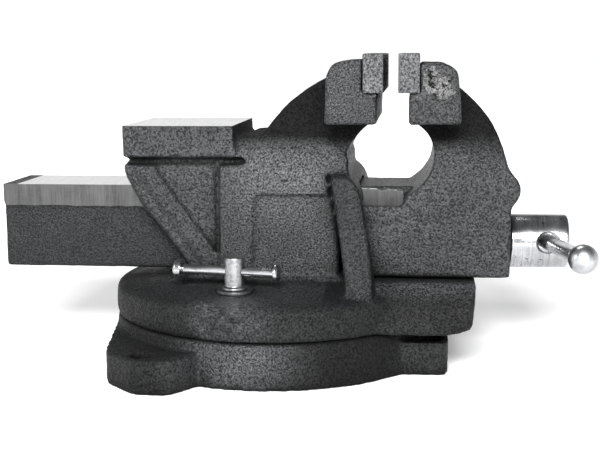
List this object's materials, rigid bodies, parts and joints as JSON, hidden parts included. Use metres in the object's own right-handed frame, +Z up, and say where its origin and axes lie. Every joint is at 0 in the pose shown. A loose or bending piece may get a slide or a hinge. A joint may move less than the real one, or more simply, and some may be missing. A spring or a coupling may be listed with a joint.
{
  "type": "bench vise",
  "caption": "Cast iron bench vise on a swivel base, with an anvil, a curved throat, separate jaw plates, a hollow slide, a screw spindle with a sliding handle and two swivel clamp bolts.",
  "frame": {"origin": "swivel axis where the base's underside meets the bench", "axes": "+X along the slide towards the spindle handle, +Y across the jaws, +Z up"},
  "size_m": [0.4534, 0.3004, 0.2388],
  "materials": {
    "painted_cast_iron": "rough sand-cast grey iron under thin dark paint; anvil and slide ways machined bright",
    "jaw_plate_iron": "rough cast iron, same dark coat, ground gripping face",
    "zinc_steel": "turned steel, bright zinc plated",
    "black_steel": "steel, black oxide",
    "bronze": "cast bronze, as machined"
  },
  "bodies": {
    "base": {"swivel_base": "painted_cast_iron", "pivot_bolt": "zinc_steel", "pivot_washer": "zinc_steel"},
    "body": {"fixed_body": "painted_cast_iron", "fixed_jaw_plate": "jaw_plate_iron", "fixed_plate_screw_front": "black_steel", "fixed_plate_screw_back": "black_steel", "spindle_nut": "bronze", "nut_bolt": "zinc_steel", "clamp_washer_front": "zinc_steel", "clamp_washer_back": "zinc_steel", "clamp_tee_nut_front": "black_steel", "clamp_tee_nut_back": "black_steel"},
    "jaw": {"moving_jaw": "painted_cast_iron", "moving_jaw_plate": "jaw_plate_iron", "moving_plate_screw_front": "black_steel", "moving_plate_screw_back": "black_steel", "thrust_washer": "zinc_steel"},
    "screw": {"spindle": "zinc_steel", "retaining_collar": "black_steel", "collar_pin": "zinc_steel"},
    "handle": {"handle_bar": "zinc_steel", "handle_ball_front": "zinc_steel", "handle_ball_back": "zinc_steel"},
    "clamp_front": {"clamp_screw_front": "zinc_steel"},
    "clamp_handle_front": {"clamp_bar_front": "zinc_steel", "clamp_bar_cap_front": "zinc_steel"},
    "clamp_back": {"clamp_screw_back": "zinc_steel"},
    "clamp_handle_back": {"clamp_bar_back": "zinc_steel", "clamp_bar_cap_back": "zinc_steel"}
  },
  "joints": [
    {"name": "swivel", "type": "hinge", "parent": "base", "child": "body", "pos_m": [0, 0, 0.034], "axis": [0, 0, 1], "continuous": true},
    {"name": "jaw_slide", "type": "slide", "parent": "body", "child": "jaw", "axis": [1, 0, 0], "range_m": [-0.0104, 0.15]},
    {"name": "spindle_turn", "type": "hinge", "parent": "jaw", "child": "screw", "pos_m": [0.2, 0, 0.0898], "axis": [1, 0, 0], "range_deg": [-630, 9010]},
    {"name": "handle_slide", "type": "slide", "parent": "screw", "child": "handle", "axis": [-0.0593, 0.9947, -0.0835], "range_m": [-0.058, 0.108]},
    {"name": "clamp_turn_front", "type": "hinge", "parent": "body", "child": "clamp_front", "pos_m": [-0.0205, -0.087, 0.0628], "axis": [0, 0, 1], "range_deg": [-5, 35]},
    {"name": "clamp_bar_slide_front", "type": "slide", "parent": "clamp_front", "child": "clamp_handle_front", "axis": [-0.9856, 0.1692, 0], "range_m": [-0.033, 0.023]},
    {"name": "clamp_turn_back", "type": "hinge", "parent": "body", "child": "clamp_back", "pos_m": [-0.0205, 0.087, 0.0628], "axis": [0, 0, 1], "range_deg": [-5, 35]},
    {"name": "clamp_bar_slide_back", "type": "slide", "parent": "clamp_back", "child": "clamp_handle_back", "axis": [0.9856, -0.1692, 0], "range_m": [-0.033, 0.023]}
  ],
  "couplings": [
    {"joint": "spindle_turn", "follows": "jaw_slide", "rad_per_m": 1047.2}
  ]
}
